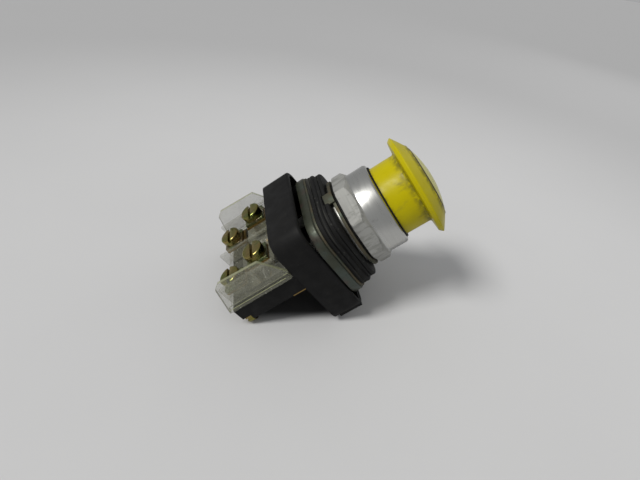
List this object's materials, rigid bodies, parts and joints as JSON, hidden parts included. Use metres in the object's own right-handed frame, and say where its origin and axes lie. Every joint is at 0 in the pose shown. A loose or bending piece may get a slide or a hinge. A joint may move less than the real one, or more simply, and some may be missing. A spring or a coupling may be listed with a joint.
{
  "type": "push-pull emergency stop button",
  "caption": "Panel-mount push-pull emergency stop operator: yellow mushroom head, octagonal bezel nut, gaskets, flange plate, black housing and a clear-covered contact block.",
  "frame": {"origin": "on the button's axis, at the front face of the panel it is clamped to", "axes": "+Z out of the panel along the button's axis; +X and +Y square to the housing's sides; the terminals face -Y"},
  "size_m": [0.0456, 0.0456, 0.0844],
  "materials": {
    "yellow_plastic": "satin moulded, slightly worn",
    "insert_plastic": "satin moulded",
    "black_plastic": "fine matte moulded texture",
    "clear_plastic": "clear, slightly yellowed polycarbonate",
    "white_plastic": "matte moulded acetal",
    "satin_aluminium": "machined, lightly scratched",
    "zinc_steel": "olive zinc plating",
    "plain_steel": "bright drawn",
    "olive_plate": "olive drab chromate",
    "yellow_chromate": "yellow chromate plated",
    "contact_brass": "plain brass",
    "silver_tip": "silver alloy",
    "black_rubber": "dusty rubber"
  },
  "bodies": {
    "operator_body": {"bezel_nut": "satin_aluminium", "nut_gasket": "black_rubber", "locating_washer": "zinc_steel", "thrust_ring": "plain_steel", "skirt_wiper": "black_rubber", "threaded_bushing": "zinc_steel", "stem_bearing": "white_plastic", "detent_spring": "plain_steel", "front_gasket": "black_rubber", "rear_gasket": "black_rubber", "backing_plate": "zinc_steel", "flange_plate": "olive_plate", "plate_screws": "plain_steel", "operator_housing": "black_plastic", "contact_base": "black_plastic", "mounting_clip": "contact_brass", "clear_cover": "clear_plastic", "nc_fixed_tips": "silver_tip", "no_fixed_tips": "silver_tip", "terminal_screws": "yellow_chromate", "saddle_clamps": "yellow_chromate", "block_screws": "yellow_chromate", "nc_front_strip": "contact_brass", "nc_rear_strip": "contact_brass", "no_front_strip": "contact_brass", "no_rear_strip": "contact_brass"},
    "push_head": {"mushroom_head": "yellow_plastic", "head_insert": "insert_plastic", "head_screw": "plain_steel", "stem": "plain_steel", "actuator_plate": "white_plastic", "stem_clip": "plain_steel"},
    "nc_carrier": {"nc_plunger": "white_plastic", "nc_bridge": "contact_brass", "nc_contact_spring": "plain_steel", "nc_return_spring": "plain_steel"},
    "no_carrier": {"no_plunger": "white_plastic", "no_bridge": "contact_brass", "no_contact_spring": "plain_steel", "no_return_spring": "plain_steel"}
  },
  "joints": [
    {"name": "head_push", "type": "slide", "parent": "operator_body", "child": "push_head", "axis": [0, 0, 1], "range_m": [-0.006, 0]},
    {"name": "nc_plunger_slide", "type": "slide", "parent": "operator_body", "child": "nc_carrier", "axis": [0, 0, 1], "range_m": [-0.006, 0], "deforming": ["nc_return_spring"]},
    {"name": "no_plunger_slide", "type": "slide", "parent": "operator_body", "child": "no_carrier", "axis": [0, 0, 1], "range_m": [-0.006, 0], "deforming": ["no_return_spring"]}
  ],
  "couplings": [
    {"joint": "nc_plunger_slide", "follows": "head_push", "ratio": 1},
    {"joint": "no_plunger_slide", "follows": "head_push", "ratio": 1}
  ]
}
